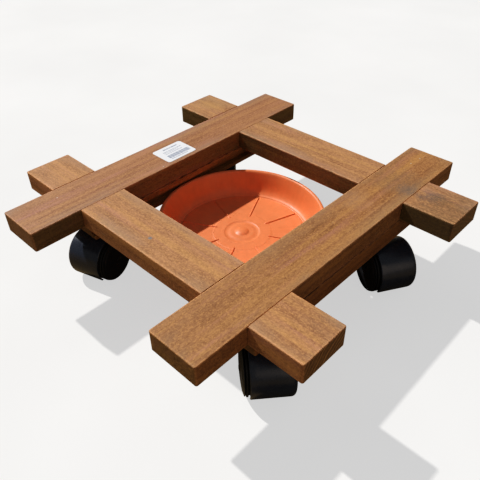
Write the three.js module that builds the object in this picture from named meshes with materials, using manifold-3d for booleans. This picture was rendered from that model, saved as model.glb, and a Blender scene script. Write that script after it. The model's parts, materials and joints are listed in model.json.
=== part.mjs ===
// Plant pot caddy: four halved hardwood rails on two grooved runner battens, a
// pull-out drip saucer, and four hooded swivel casters in mirrored pairs.
// Millimetres, +Z up. Origin on the floor, under the centre of the frame.
// +X is right, +Y is back; the saucer pulls out to the front (-Y).
import * as THREE from 'three';
import { mergeVertices } from 'three/addons/utils/BufferGeometryUtils.js';
import Module from 'manifold-3d';

const wasm = await Module();
wasm.setup();

const SIDES = [-1, 1];       // left and right, or front and back

// --------------------------------------------------------- shared dimensions
const TOP = 100;             // height of the flush rail tops
const RAIL_W = 50;           // rail and runner width
const RAIL_T = 20.8;
const RAIL_BOTTOM = TOP - RAIL_T;
const SPACING = 215;         // rail centre to rail centre, both ways
const HALF = SPACING / 2;

const RUNNER_T = 20.6;
const RUNNER_TOP = RAIL_BOTTOM - 0.3;
const RUNNER_BOTTOM = RUNNER_TOP - RUNNER_T;

const STEM_X = 107;          // swivel axes of the casters
const STEM_Y = 88;
const SCREW_PITCH = 28;      // plate screws, both ways

// Caster sizes along the axle are measured from the swivel axis, positive
// towards the open end of the hood.
const TRAIL = 25;            // wheel centre behind the swivel axis
const WHEEL_R = 24.5;

// ----------------------------------------------------------------- materials
const paint = ({ color, roughness, metalness = 0 }) =>
  new THREE.MeshStandardMaterial({ color, roughness, metalness });
const looks = {
  longRail: () => paint({ color: 0xab7a4e, roughness: 0.62 }),
  crossRail: () => paint({ color: 0xb98a5c, roughness: 0.62 }),
  runner: () => paint({ color: 0x7a5230, roughness: 0.7 }),
  label: () => paint({ color: 0xe9ebee, roughness: 0.45 }),
  saucer: () => paint({ color: 0xd9683f, roughness: 0.42 }),
  hood: () => paint({ color: 0x17181a, roughness: 0.3 }),
  wheel: () => paint({ color: 0x0d0d0e, roughness: 0.55 }),
  steel: () => paint({ color: 0xa9acb0, roughness: 0.35, metalness: 0.9 }),
};

// ------------------------------------------------------------------- helpers
// welds a closed geometry and drops its collapsed triangles
function solidOf(geometry) {
  const bare = geometry.clone();
  bare.deleteAttribute('normal');
  bare.deleteAttribute('uv');
  const welded = mergeVertices(bare, 1e-4);
  const index = welded.index.array;
  const triangles = [];
  for (let i = 0; i < index.length; i += 3) {
    const [a, b, c] = [index[i], index[i + 1], index[i + 2]];
    if (a !== b && b !== c && a !== c) triangles.push(a, b, c);
  }
  return new wasm.Manifold(new wasm.Mesh({
    numProp: 3,
    vertProperties: new Float32Array(welded.attributes.position.array),
    triVerts: new Uint32Array(triangles),
  }));
}

function geometryOf(solid) {
  const { vertProperties, triVerts } = solid.getMesh();
  const geometry = new THREE.BufferGeometry();
  geometry.setAttribute('position',
    new THREE.BufferAttribute(new Float32Array(vertProperties), 3));
  geometry.setIndex(new THREE.BufferAttribute(new Uint32Array(triVerts), 1));
  geometry.computeVertexNormals();
  return geometry;
}

// box between two places on each axis, given in either order
const box = ([x0, x1], [y0, y1], [z0, z1]) =>
  solidOf(new THREE.BoxGeometry(Math.abs(x1 - x0), Math.abs(y1 - y0), Math.abs(z1 - z0))
    .translate((x0 + x1) / 2, (y0 + y1) / 2, (z0 + z1) / 2));

// upright rod between two heights
const rod = (radius, z0, z1, x, y, segments) =>
  solidOf(new THREE.CylinderGeometry(radius, radius, z1 - z0, segments)
    .rotateX(Math.PI / 2).translate(x, y, (z0 + z1) / 2));

const lathe = (pairs, segments) =>
  new THREE.LatheGeometry(pairs.map(([r, h]) => new THREE.Vector2(r, h)), segments);

// turned shape from (radius, height) pairs, upright about +Z
const turned = (pairs, segments) => lathe(pairs, segments).rotateX(Math.PI / 2);

// turned shape from (radius, place along the axle) pairs; side -1 mirrors it
function onAxle(pairs, segments, side) {
  const profile = side > 0 ? pairs : pairs.map(([r, h]) => [r, -h]).reverse();
  return lathe(profile, segments).translate(TRAIL, 0, WHEEL_R);
}

// flat board standing on z = 0, w along X and l along Y, with rounded plan
// corners and eased edges
function plank({ w, l, t, corner, edge }) {
  const x = w / 2 - edge;
  const y = l / 2 - edge;
  const cx = x - corner;
  const cy = y - corner;
  const outline = new THREE.Shape();
  outline.moveTo(-x + corner, -y);
  outline.lineTo(cx, -y);
  outline.absarc(cx, -y + corner, corner, -Math.PI / 2, 0, false);
  outline.lineTo(x, cy);
  outline.absarc(cx, cy, corner, 0, Math.PI / 2, false);
  outline.lineTo(-x + corner, y);
  outline.absarc(-x + corner, cy, corner, Math.PI / 2, Math.PI, false);
  outline.lineTo(-x, -y + corner);
  outline.absarc(-x + corner, -y + corner, corner, Math.PI, 1.5 * Math.PI, false);
  return new THREE.ExtrudeGeometry(outline, {
    depth: t - 2 * edge,
    bevelEnabled: edge > 0,
    bevelThickness: edge,
    bevelSize: edge,
    bevelSegments: 2,
    curveSegments: 2,
  }).translate(0, 0, edge);
}

function put(parent, name, geometry, material) {
  const mesh = new THREE.Mesh(geometry, material);
  mesh.name = name;
  parent.add(mesh);
}

// ------------------------------------------------------------- frame screws
// One long screw through each crossing, two shorter ones along each runner.
const HEAD_LOW = RUNNER_BOTTOM + 0.3;
const SHANK_R = 2.1;
const SHANK_HOLE_R = 2.35;
const HOLE_START = 60;       // inside the runner, below the rails

const screwsAtCorners = (kind, y, tip) => SIDES.flatMap((sx) => SIDES.map((sy) => ({
  name: `${kind}_${sy < 0 ? 'front' : 'back'}_${sx < 0 ? 'left' : 'right'}`,
  x: sx * HALF,
  y: sy * y,
  tip,
})));
const crossingScrews = screwsAtCorners('crossing_screw', 100.5, 95);
const frameScrews = [...crossingScrews, ...screwsAtCorners('runner_screw', 40, 92)];

const frameScrew = ({ x, y, tip }) => turned([
  [0, HEAD_LOW], [3.9, HEAD_LOW], [3.9, HEAD_LOW + 0.4], [SHANK_R, HEAD_LOW + 2.2],
  [SHANK_R, tip - 4], [0, tip],
], 8).translate(x, y, 0);

const railHole = ({ x, y }, top) => rod(SHANK_HOLE_R, HOLE_START, top, x, y, 10);

// through hole in a runner, countersunk from below
function runnerHole({ x, y }) {
  const low = RUNNER_BOTTOM - 1;
  const countersink = turned([
    [0, low], [4.3, low], [4.3, HEAD_LOW + 0.7], [2.3, HEAD_LOW + 2.7], [0, HEAD_LOW + 2.7],
  ], 10).translate(x, y, 0);
  return rod(SHANK_HOLE_R, low, 90, x, y, 10).add(solidOf(countersink));
}

// --------------------------------------------------------------------- rails
// Long rails run unbroken on top and are notched from below; cross rails are
// notched from above.
const RAIL = { w: RAIL_W, l: 369, t: RAIL_T, corner: 3, edge: 1.2 };
const LAP_Z = TOP - RAIL_T / 2;
const LAP_CLEARANCE = 0.15;  // each notch floor to mid thickness
const NOTCH_HALF_W = RAIL_W / 2 + 0.3;
const NOTCH_REACH = 40;      // past both faces of the rail
const NOTCH_OVERCUT = 5;     // past the rail's top or bottom

const around = (centre, reach) => [centre - reach, centre + reach];

function longRail(side) {
  const x = side * HALF;
  let rail = solidOf(plank(RAIL).translate(x, 0, RAIL_BOTTOM));
  for (const sy of SIDES) {
    rail = rail.subtract(box(around(x, NOTCH_REACH), around(sy * HALF, NOTCH_HALF_W),
      [RAIL_BOTTOM - NOTCH_OVERCUT, LAP_Z + LAP_CLEARANCE]));
  }
  for (const screw of frameScrews) {
    if (screw.x * side > 0) rail = rail.subtract(railHole(screw, screw.tip + 0.5));
  }
  return geometryOf(rail);
}

function crossRail(side) {
  const y = side * HALF;
  let rail = solidOf(plank(RAIL).rotateZ(Math.PI / 2).translate(0, y, RAIL_BOTTOM));
  for (const sx of SIDES) {
    rail = rail.subtract(box(around(sx * HALF, NOTCH_HALF_W), around(y, NOTCH_REACH),
      [LAP_Z - LAP_CLEARANCE, TOP + NOTCH_OVERCUT]));
  }
  for (const screw of crossingScrews) {
    if (screw.y * side > 0) rail = rail.subtract(railHole(screw, 99));
  }
  return geometryOf(rail);
}

// ------------------------------------------------------------------- runners
const RUNNER = { w: RAIL_W, l: 248, t: RUNNER_T, corner: 1.5, edge: 0.8 };
// groove for the saucer rim, in the inner face
const GROOVE = { low: 63.5, high: 72, depth: 6.5, overcut: 3 };
const PILOT = { radius: 2, low: 50, high: 72.4 };  // holes for the plate screws

function runner(side) {
  let batten = solidOf(plank(RUNNER).translate(side * HALF, 0, RUNNER_BOTTOM));
  const innerFace = side * (HALF - RAIL_W / 2);
  batten = batten.subtract(box(
    [innerFace - side * GROOVE.overcut, innerFace + side * GROOVE.depth],
    [-RUNNER.l, RUNNER.l], [GROOVE.low, GROOVE.high]));
  for (const screw of frameScrews) {
    if (screw.x * side > 0) batten = batten.subtract(runnerHole(screw));
  }
  for (const sy of SIDES) for (const a of SIDES) for (const b of SIDES) {
    batten = batten.subtract(rod(PILOT.radius, PILOT.low, PILOT.high,
      side * STEM_X + a * SCREW_PITCH / 2, sy * STEM_Y + b * SCREW_PITCH / 2, 8));
  }
  return geometryOf(batten);
}

// --------------------------------------------------------------------- label
// on top of the left long rail
const label = () => plank({ w: 29.8, l: 39.4, t: 0.2, corner: 3, edge: 0 })
  .translate(-102.6, 0.5, TOP + 0.03);

// -------------------------------------------------------------------- saucer
const RIM_R = 86;
const RIM_TOP = 68;
const FLOOR = 43;            // upper face of the saucer floor
const RING_R = 69.5;         // outer radius of the shallow ring in the floor
const RIB = { count: 8, length: 37, width: 1, height: 1.2, middle: 47, firstDegrees: 27 };

// (radius, height): out along the underside, round the rim, back in on top
const SAUCER_PROFILE = [
  [0, FLOOR - 1.6], [60, FLOOR - 1.6], [62, FLOOR - 2.2], [67.5, FLOOR - 2.2],
  [72.6, FLOOR - 0.2], [77.6, FLOOR + 6.6], [80.6, FLOOR + 14.6],
  [82.2, RIM_TOP - 2.6], [84.6, RIM_TOP - 2.4], [84.8, RIM_TOP - 4.2],
  [RIM_R, RIM_TOP - 4.2], [RIM_R, RIM_TOP - 1], [RIM_R - 1, RIM_TOP],
  [RIM_R - 2.6, RIM_TOP], [RIM_R - 4, RIM_TOP - 1.2],
  [78.7, FLOOR + 15.2], [75.7, FLOOR + 7.6], [71.2, FLOOR + 1.2],
  [RING_R, FLOOR + 0.3], [RING_R - 0.9, FLOOR - 0.5], [RING_R - 2.2, FLOOR - 0.5],
  [RING_R - 3, FLOOR], [6, FLOOR], [3.5, FLOOR + 1.6], [0, FLOOR + 2],
];

function saucer() {
  let dish = solidOf(turned(SAUCER_PROFILE, 40));
  for (let i = 0; i < RIB.count; i++) {
    const angle = (i * 360 / RIB.count + RIB.firstDegrees) * Math.PI / 180;
    dish = dish.add(solidOf(new THREE.BoxGeometry(RIB.length, RIB.width, RIB.height)
      .translate(RIB.middle, 0, FLOOR + 0.1).rotateZ(angle)));
  }
  return geometryOf(dish);
}

// ------------------------------------------------------- casters, fixed parts
const PLATE = 38;            // square plate
const PLATE_LOW = 56.2;
const PLATE_HIGH = 58;
const PIN_R = 4;
const PIN_LOW = 40.4;
const PIN_HEAD_R = 6;
const PIN_HEAD_LOW = 57.1;
const PIN_TOP = 57.95;
const COLLAR_R = 9;          // collar of the hood, and the bush above it
const PLATE_CORNERS = [[-1, -1], [1, -1], [1, 1], [-1, 1]]
  .map(([a, b]) => [a * SCREW_PITCH / 2, b * SCREW_PITCH / 2]);

function casterPlate() {
  let plate = solidOf(plank({
    w: PLATE, l: PLATE, t: PLATE_HIGH - PLATE_LOW, corner: 4, edge: 0,
  }).translate(0, 0, PLATE_LOW));
  plate = plate.subtract(rod(PIN_R + 0.25, 50, 60, 0, 0, 16));
  plate = plate.subtract(rod(PIN_HEAD_R + 0.35, PIN_HEAD_LOW - 0.2, 60, 0, 0, 16));
  const low = PLATE_LOW - 0.25;
  const high = PLATE_HIGH + 0.15;
  for (const [x, y] of PLATE_CORNERS) {
    const countersink = turned([[0, low], [4, low], [1.95, high], [0, high]], 10);
    plate = plate.subtract(solidOf(countersink.translate(x, y, 0)));
  }
  return geometryOf(plate);
}

// slotted countersunk screw, head down
function plateScrew(x, y, slotAngle) {
  const low = PLATE_LOW + 0.05;
  const screw = solidOf(turned([
    [0, low], [3.3, low], [1.6, PLATE_HIGH], [1.6, 69.5], [0, 72],
  ], 8));
  const slot = solidOf(new THREE.BoxGeometry(5, 0.9, 1.6)
    .translate(0, 0, PLATE_LOW).rotateZ(slotAngle));
  return geometryOf(screw.subtract(slot)).translate(x, y, 0);
}

const kingpin = () => turned([
  [0, PIN_LOW], [PIN_R - 0.6, PIN_LOW], [PIN_R, PIN_LOW + 0.6], [PIN_R, PIN_HEAD_LOW],
  [PIN_HEAD_R, PIN_HEAD_LOW], [PIN_HEAD_R, PIN_TOP], [0, PIN_TOP],
], 16);

function swivelBush() {
  const bore = PIN_R + 0.2;
  const low = 53.8;
  const high = 55.8;
  return turned([
    [bore, low], [COLLAR_R - 0.4, low], [COLLAR_R, low + 0.4], [COLLAR_R, high],
    [bore, high], [bore, low],
  ], 16);
}

// ----------------------------------------------------- casters, turning parts
const HOOD_R = 26.8;
const CAVITY_R = 25.4;
const OPEN_END = 15;         // hood ends, along the axle
const CLOSED_END = -24;
const WALL_INSIDE = CLOSED_END + 3.5;  // inner face of the closed wall
const SHOULDER_R = 4.5;      // rounding of the closed end
const SHOULDER_STEPS = 3;
const AXLE_R = 2;
const BORE_CLEARANCE = 0.12; // hood bores for kingpin and axle
// the sloping skirt cut runs from the high point down to the low one
const SKIRT_HIGH = { x: -4, z: 30 };
const SKIRT_LOW = { x: 40, z: 5 };

function skirtSlope() {
  const angle = Math.atan2(SKIRT_HIGH.z - SKIRT_LOW.z, SKIRT_LOW.x - SKIRT_HIGH.x);
  return solidOf(new THREE.BoxGeometry(120, 120, 60).translate(0, 0, -30).rotateY(angle)
    .translate((SKIRT_HIGH.x + SKIRT_LOW.x) / 2, 0, (SKIRT_HIGH.z + SKIRT_LOW.z) / 2));
}

function casterHood(side) {
  const shoulder = [];
  for (let i = 0; i <= SHOULDER_STEPS; i++) {
    const angle = (i / SHOULDER_STEPS) * Math.PI / 2;
    shoulder.push([HOOD_R - SHOULDER_R + SHOULDER_R * Math.sin(angle),
      CLOSED_END + SHOULDER_R - SHOULDER_R * Math.cos(angle)]);
  }
  const shell = [[0, CLOSED_END], ...shoulder, [HOOD_R, OPEN_END - 0.6],
    [HOOD_R - 0.6, OPEN_END], [0, OPEN_END]];
  const cavity = [[0, WALL_INSIDE], [CAVITY_R, WALL_INSIDE],
    [CAVITY_R, OPEN_END + 20], [0, OPEN_END + 20]];
  const axleBoreR = AXLE_R + BORE_CLEARANCE;
  const axleBore = new THREE.CylinderGeometry(axleBoreR, axleBoreR, 4, 12)
    .translate(TRAIL, side * (WALL_INSIDE - 0.8), WHEEL_R);
  // skirt: level at the trailing end, rising towards the swivel axis
  return geometryOf(solidOf(onAxle(shell, 30, side))
    .add(rod(COLLAR_R, 32, 53.5, 0, 0, 16))
    .subtract(solidOf(onAxle(cavity, 30, side)))
    .subtract(box([-60, 100], [-60, 60], [-40, SKIRT_LOW.z]))
    .subtract(skirtSlope())
    .subtract(rod(PIN_R + BORE_CLEARANCE, 40, 60, 0, 0, 16))
    .subtract(solidOf(axleBore)));
}

// axle with a wider head at the open end
function axle(side) {
  const inner = WALL_INSIDE - 2.5;
  const head = 22.3;
  return onAxle([
    [0, inner], [AXLE_R, inner], [AXLE_R, head],
    [2.8, head], [2.8, head + 0.6], [1.8, head + 1.1], [0, head + 1.1],
  ], 12, side);
}

// wheel with a narrow groove round the tread and a recess in its open face
function wheel(side) {
  const bore = 2.15;
  const inner = WALL_INSIDE + 0.6;
  return onAxle([
    [bore, inner], [WHEEL_R - 1, inner], [WHEEL_R, inner + 1],
    [WHEEL_R, 14.4], [23, 14.7], [23, 16], [WHEEL_R, 16.2],
    [WHEEL_R, 18], [12.4, 18], [12.4, 13], [bore, 13], [bore, inner],
  ], 24, side);
}

function hubCap(side) {
  const bore = 2.25;
  return onAxle([
    [bore, 13.3], [12, 13.3], [12, 18.7], [23.4, 18.7], [23.8, 19.5],
    [19.5, 21], [10, 22], [bore, 22], [bore, 13.3],
  ], 24, side);
}

// side 1: the wheel shows on the left of the trailing direction; side -1 is
// its mirror image. heading: trailing direction, degrees from +X.
const CASTERS = [
  { where: 'front_left', x: -STEM_X, y: -STEM_Y, heading: -73, side: 1 },
  { where: 'front_right', x: STEM_X, y: -STEM_Y, heading: -41, side: -1 },
  { where: 'back_right', x: STEM_X, y: STEM_Y, heading: -31, side: -1 },
  { where: 'back_left', x: -STEM_X, y: STEM_Y, heading: -125, side: 1 },
];

function putCaster(parent, { where, x, y, heading, side }) {
  const fixed = new THREE.Group();
  fixed.position.set(x, y, 0);
  parent.add(fixed);
  put(fixed, `caster_plate_${where}`, casterPlate(), looks.steel());
  PLATE_CORNERS.forEach(([px, py], i) => {
    put(fixed, `plate_screw_${where}_${i + 1}`, plateScrew(px, py, 0.3 + i), looks.steel());
  });
  put(fixed, `kingpin_${where}`, kingpin(), looks.steel());
  put(fixed, `swivel_bush_${where}`, swivelBush(), looks.steel());

  const turning = new THREE.Group();
  turning.position.set(x, y, 0);
  turning.rotation.z = heading * Math.PI / 180;
  parent.add(turning);
  put(turning, `caster_hood_${where}`, casterHood(side), looks.hood());
  put(turning, `axle_${where}`, axle(side), looks.steel());
  put(turning, `wheel_${where}`, wheel(side), looks.wheel());
  put(turning, `hub_cap_${where}`, hubCap(side), looks.wheel());
}

// ------------------------------------------------------------------ assembly
const caddy = new THREE.Group();
for (const screw of frameScrews) put(caddy, screw.name, frameScrew(screw), looks.steel());
put(caddy, 'long_rail_left', longRail(-1), looks.longRail());
put(caddy, 'long_rail_right', longRail(1), looks.longRail());
put(caddy, 'cross_rail_front', crossRail(-1), looks.crossRail());
put(caddy, 'cross_rail_back', crossRail(1), looks.crossRail());
put(caddy, 'runner_left', runner(-1), looks.runner());
put(caddy, 'runner_right', runner(1), looks.runner());
put(caddy, 'blank_label', label(), looks.label());
put(caddy, 'saucer', saucer(), looks.saucer());
for (const caster of CASTERS) putCaster(caddy, caster);

export default caddy;
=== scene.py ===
"""A plant caddy: a wooden frame on four swivel casters, with a terracotta plastic saucer.

The floor is z = 0, the front is -Y and the left is -X. The long rails and the runners below
them lie along Y, the cross rails along X. Shapes are given in millimetres and stored in metres.
"""
import json
import math
from collections import namedtuple
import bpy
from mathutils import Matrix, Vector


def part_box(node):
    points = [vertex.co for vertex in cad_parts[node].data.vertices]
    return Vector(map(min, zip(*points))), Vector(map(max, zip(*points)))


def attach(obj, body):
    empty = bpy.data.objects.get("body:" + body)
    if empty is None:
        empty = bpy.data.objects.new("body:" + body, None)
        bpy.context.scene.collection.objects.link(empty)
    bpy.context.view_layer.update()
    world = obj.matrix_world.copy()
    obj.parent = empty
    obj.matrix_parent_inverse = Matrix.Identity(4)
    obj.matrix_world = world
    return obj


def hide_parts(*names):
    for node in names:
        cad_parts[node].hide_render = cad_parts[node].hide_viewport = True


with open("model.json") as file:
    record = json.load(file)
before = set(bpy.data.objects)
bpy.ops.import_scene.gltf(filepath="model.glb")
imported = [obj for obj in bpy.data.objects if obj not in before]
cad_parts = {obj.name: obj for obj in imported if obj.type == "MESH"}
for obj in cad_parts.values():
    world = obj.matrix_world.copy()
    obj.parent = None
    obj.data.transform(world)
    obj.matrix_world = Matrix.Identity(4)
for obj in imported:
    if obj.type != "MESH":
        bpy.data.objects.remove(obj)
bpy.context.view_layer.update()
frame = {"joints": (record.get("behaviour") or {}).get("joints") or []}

from types import SimpleNamespace

import bpy
import bmesh
import numpy as np
from mathutils import Matrix, Vector

MM = 0.001
SCENE = bpy.context.scene
JOINTS = {joint["name"]: joint for joint in frame["joints"]}
CORNERS = ("front_left", "front_right", "back_right", "back_left")


def mm_box(node):
    """Low and high corners of a CAD piece."""
    lo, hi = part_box(node)
    return np.array(lo) * 1000, np.array(hi) * 1000


# ------------------------------------------------------------------ mesh tools
def new_object(name, points, faces, smooth=True):
    mesh = bpy.data.meshes.new(name)
    corners = [tuple(point) for point in np.asarray(points, float) * MM]
    mesh.from_pydata(corners, [], [tuple(int(i) for i in face) for face in faces])
    mesh.validate()
    mesh.update()
    if smooth:
        mesh.polygons.foreach_set("use_smooth", [True] * len(mesh.polygons))
    ob = bpy.data.objects.new(name, mesh)
    SCENE.collection.objects.link(ob)
    return ob


def fix_normals(ob):
    bm = bmesh.new()
    bm.from_mesh(ob.data)
    bmesh.ops.remove_doubles(bm, verts=bm.verts, dist=1e-7)
    bmesh.ops.recalc_face_normals(bm, faces=bm.faces)
    bm.to_mesh(ob.data)
    bm.free()
    ob.data.update()


def sharpen(ob, degrees):
    """Smooth shading with hard edges above an angle."""
    bm = bmesh.new()
    bm.from_mesh(ob.data)
    limit = math.radians(degrees)
    for face in bm.faces:
        face.smooth = True
    for edge in bm.edges:
        edge.smooth = not (len(edge.link_faces) == 2 and edge.calc_face_angle(0) > limit)
    bm.to_mesh(ob.data)
    bm.free()


def boolean(ob, other, operation="DIFFERENCE"):
    """Applies a boolean with another object and removes that object."""
    modifier = ob.modifiers.new("b", "BOOLEAN")
    modifier.operation = operation
    modifier.solver = "EXACT"
    modifier.object = other
    bpy.context.view_layer.update()
    graph = bpy.context.evaluated_depsgraph_get()
    graph.update()
    result = bpy.data.meshes.new_from_object(ob.evaluated_get(graph), depsgraph=graph)
    before = ob.data
    ob.modifiers.clear()
    ob.data = result
    bpy.data.meshes.remove(before)
    remove(other)


def remove(ob):
    mesh = ob.data
    bpy.data.objects.remove(ob)
    bpy.data.meshes.remove(mesh)


def slice_off(ob, point, normal):
    """Takes away everything on the normal's side of a plane and closes the cut."""
    bm = bmesh.new()
    bm.from_mesh(ob.data)
    cut = bmesh.ops.bisect_plane(bm, geom=bm.verts[:] + bm.edges[:] + bm.faces[:], dist=1e-8,
                                 plane_co=Vector(point) * MM, plane_no=Vector(normal),
                                 clear_outer=True)
    edges = [e for e in cut["geom_cut"]
             if isinstance(e, bmesh.types.BMEdge) and len(e.link_faces) == 1]
    bmesh.ops.edgeloop_fill(bm, edges=edges)
    bmesh.ops.recalc_face_normals(bm, faces=bm.faces)
    bm.to_mesh(ob.data)
    bm.free()


def block(lo, hi):
    x0, y0, z0 = lo
    x1, y1, z1 = hi
    points = [(x0, y0, z0), (x1, y0, z0), (x1, y1, z0), (x0, y1, z0),
              (x0, y0, z1), (x1, y0, z1), (x1, y1, z1), (x0, y1, z1)]
    faces = [(0, 3, 2, 1), (4, 5, 6, 7), (0, 1, 5, 4), (1, 2, 6, 5), (2, 3, 7, 6), (3, 0, 4, 7)]
    return new_object("block", points, faces, smooth=False)


def full_turn(sides, phase=0.0):
    return np.linspace(0, 2 * np.pi, sides, endpoint=False) + phase


def turned_solid(profile, sides, phase, along_y=False, at=(0, 0, 0)):
    """Solid turned from (radius, height) pairs, with one flat face at each end.

    The small phases keep its edges from lining up with those of the piece it meets.
    """
    points, faces = [], []
    for radius, height in profile:
        points += [(radius * math.cos(a), radius * math.sin(a), height)
                   for a in full_turn(sides, phase)]
    for k in range(len(profile) - 1):
        low, high = k * sides, (k + 1) * sides
        for i in range(sides):
            j = (i + 1) % sides
            faces.append((low + i, low + j, high + j, high + i))
    last = (len(profile) - 1) * sides
    faces += [tuple(reversed(range(sides))), tuple(range(last, last + sides))]
    points = np.array(points)
    if along_y:
        points = points[:, [0, 2, 1]]
    ob = new_object("turned", points + np.array(at, float), faces)
    fix_normals(ob)
    return ob


def lathe(profile, angles):
    """Points and faces turned about +Z from (radius, height) pairs.

    Points on the axis become poles. A profile that neither starts nor ends on the axis is
    closed on itself.
    """
    n = len(angles)
    cosines, sines = np.cos(angles), np.sin(angles)
    points, rings = [], []
    for radius, height in profile:
        if radius < 1e-9:
            rings.append([len(points)])
            points.append((0, 0, height))
        else:
            rings.append(list(range(len(points), len(points) + n)))
            points += list(zip(radius * cosines, radius * sines, np.full(n, height)))
    pairs = list(zip(rings[:-1], rings[1:]))
    if profile[0][0] > 1e-9 and profile[-1][0] > 1e-9:
        pairs.append((rings[-1], rings[0]))
    faces = []
    for a, b in pairs:
        for i in range(n):
            j = (i + 1) % n
            if len(a) == 1:
                faces.append((a[0], b[j], b[i]))
            elif len(b) == 1:
                faces.append((a[i], a[j], b[0]))
            else:
                faces.append((a[i], a[j], b[j], b[i]))
    return np.array(points, float), faces


def arc(x, y, radius, start, end, count):
    """Points on an arc, from one angle to another in degrees."""
    return [(x + radius * math.cos(math.radians(a)), y + radius * math.sin(math.radians(a)))
            for a in np.linspace(start, end, count)]


def rounded_outline(x, y, half_x, half_y, radius, count):
    """Rectangle about (x, y) with rounded corners of count points each."""
    outline = []
    for side_x, side_y, start in ((1, 1, 0), (-1, 1, 90), (-1, -1, 180), (1, -1, 270)):
        outline += arc(x + side_x * (half_x - radius), y + side_y * (half_y - radius), radius,
                       start, start + 90, count)
    return outline


def lattice_noise(points, seed, octaves):
    """Smooth, repeatable value noise in 0..1 at points of two or three dimensions."""
    points = np.asarray(points, float)
    dims = points.shape[1]
    total, amplitude, norm = np.zeros(len(points)), 1.0, 0.0
    for octave in range(octaves):
        spot = points * 2 ** octave + 17.3 * octave
        cell = np.floor(spot).astype(np.int64)
        part = spot - cell
        part = part * part * (3 - 2 * part)
        value = np.zeros(len(points))
        for corner in range(2 ** dims):
            bits = [(corner >> k) & 1 for k in range(dims)]
            mash = np.full(len(points), seed * 1013 + octave * 7919, np.int64)
            weight = np.ones(len(points))
            for k in range(dims):
                mash = (mash * 374761393 + (cell[:, k] + bits[k]) * 668265263) & 0x7FFFFFFF
                mash = (mash ^ (mash >> 13)) * 1274126177 & 0x7FFFFFFF
                weight *= part[:, k] if bits[k] else 1 - part[:, k]
            value += weight * ((mash ^ (mash >> 16)) & 0xFFFF) / 65535.0
        total += amplitude * value
        norm += amplitude
        amplitude *= 0.5
    return total / norm


def take_data(ob):
    """Points and faces of a working object, which is removed."""
    coords = np.empty(len(ob.data.vertices) * 3)
    ob.data.vertices.foreach_get("co", coords)
    faces = [tuple(polygon.vertices) for polygon in ob.data.polygons]
    remove(ob)
    return coords.reshape(-1, 3) / MM, faces


def dress(ob, material):
    ob.data.materials.clear()
    ob.data.materials.append(material)


def finish(ob, body, material, node, angle):
    sharpen(ob, angle)
    dress(ob, material)
    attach(ob, body)
    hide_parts(node)


def piece(name, shape, body, material, node, angle=35):
    """Finished object from (points, faces)."""
    ob = new_object(name, *shape)
    fix_normals(ob)
    finish(ob, body, material, node, angle)


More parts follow.
